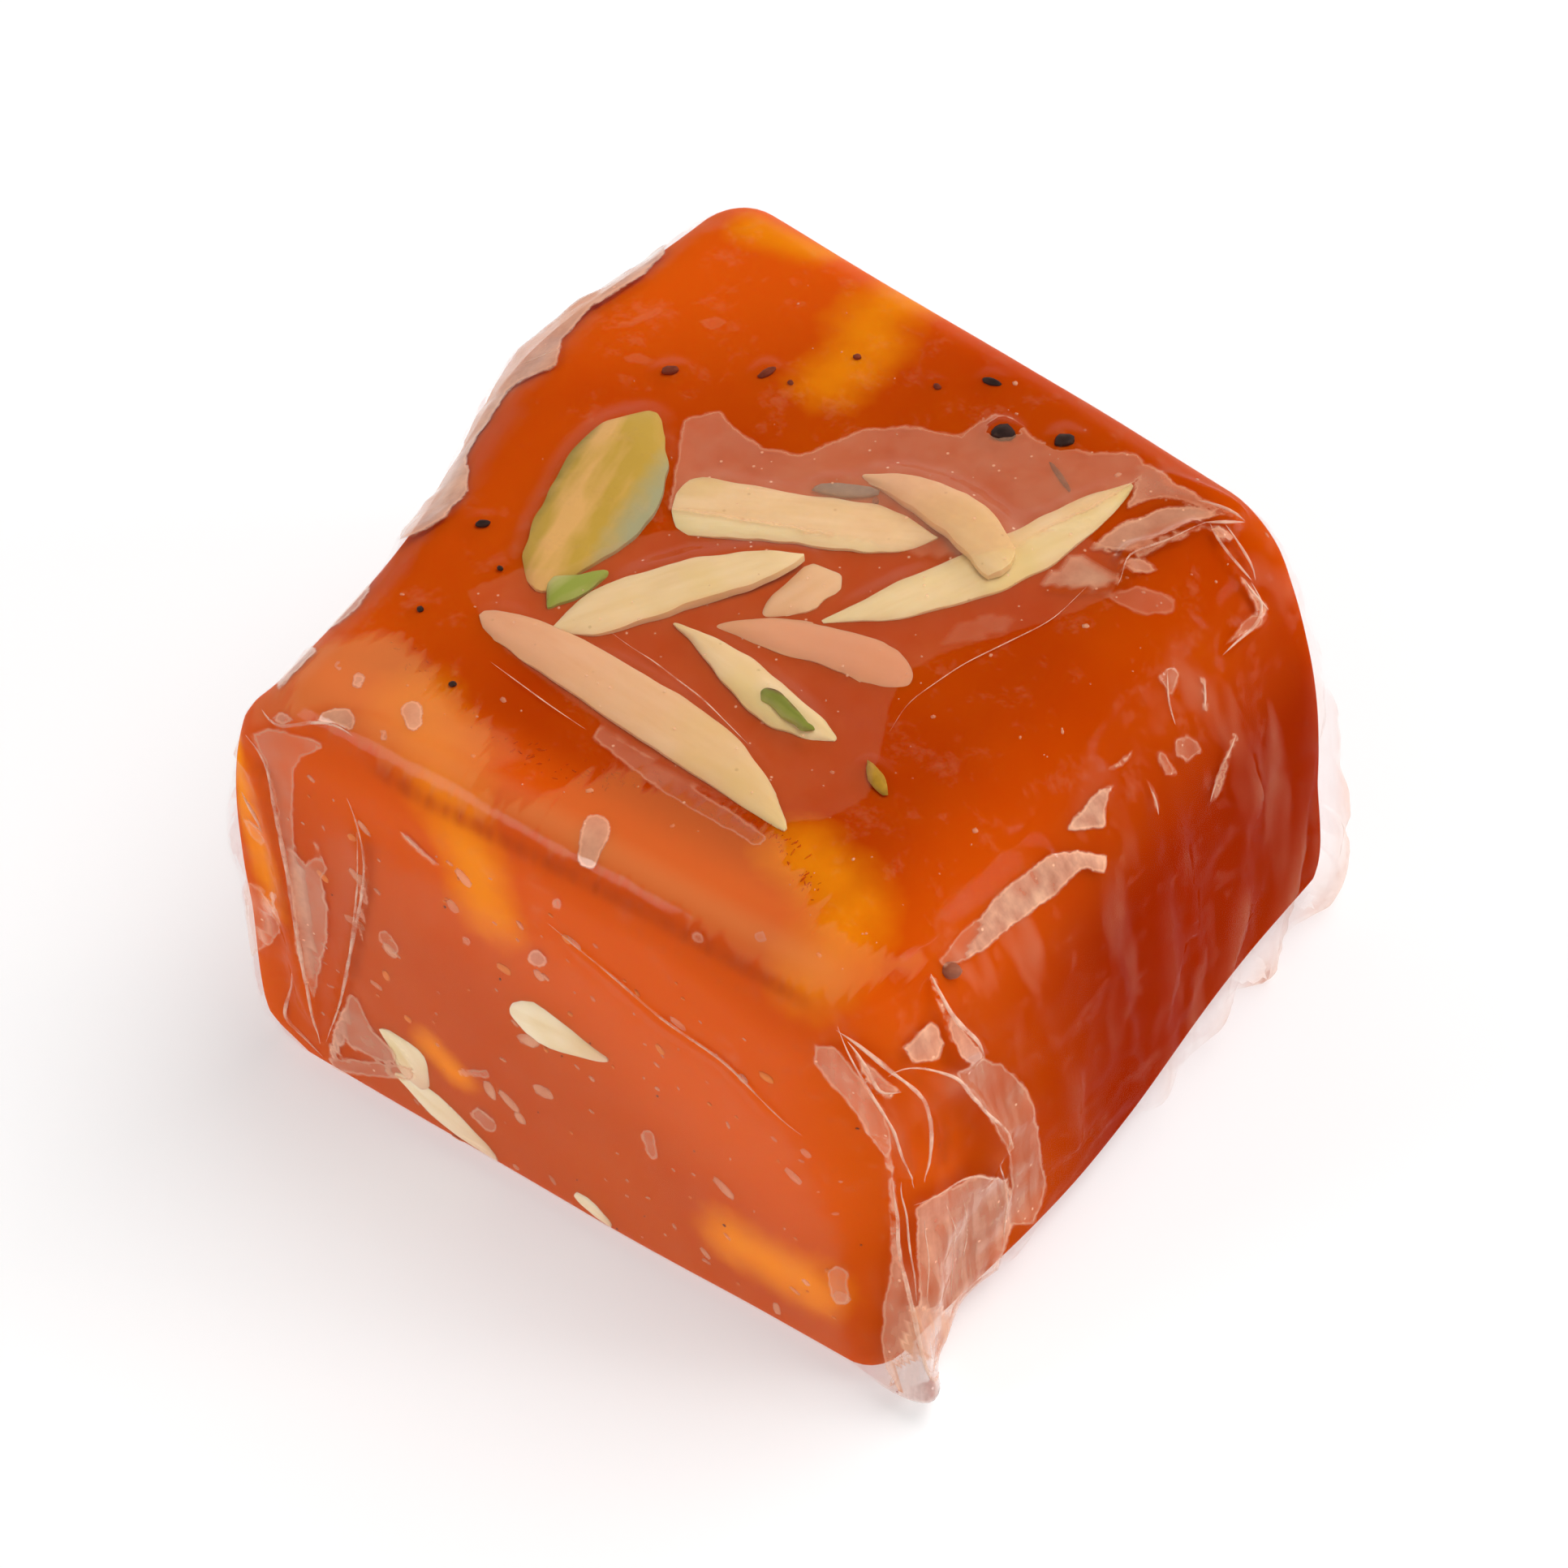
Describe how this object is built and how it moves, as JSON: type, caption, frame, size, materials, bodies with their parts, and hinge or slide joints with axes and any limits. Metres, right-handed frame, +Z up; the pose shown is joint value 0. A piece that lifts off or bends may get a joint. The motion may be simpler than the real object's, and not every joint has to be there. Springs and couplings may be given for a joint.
{
  "type": "badam halva",
  "caption": "Cut block of clear orange badam halva wrapped in cling film, with slivered almonds and pistachio pieces on top.",
  "frame": {"origin": "middle of the footprint, on the surface that the sweet rests on", "axes": "+Z up, X along the long front cut face, +Y from the front face to the back"},
  "size_m": [0.0556, 0.0516, 0.035],
  "materials": {
    "halva_in_film": "clear orange starch halva seen through glossy cling film",
    "almond": "blanched almond, cut matt",
    "pistachio": "pistachio kernel with its brown skin, cut matt"
  },
  "bodies": {
    "root": {"halva_in_film": "halva_in_film", "almond_sliver_1": "almond", "almond_sliver_2": "almond", "almond_sliver_3": "almond", "almond_sliver_4": "almond", "almond_sliver_5": "almond", "almond_sliver_6": "almond", "almond_sliver_7": "almond", "almond_sliver_8": "almond", "pistachio_slice": "pistachio", "pistachio_wedge": "pistachio", "pistachio_shaving": "pistachio"}
  },
  "joints": []
}
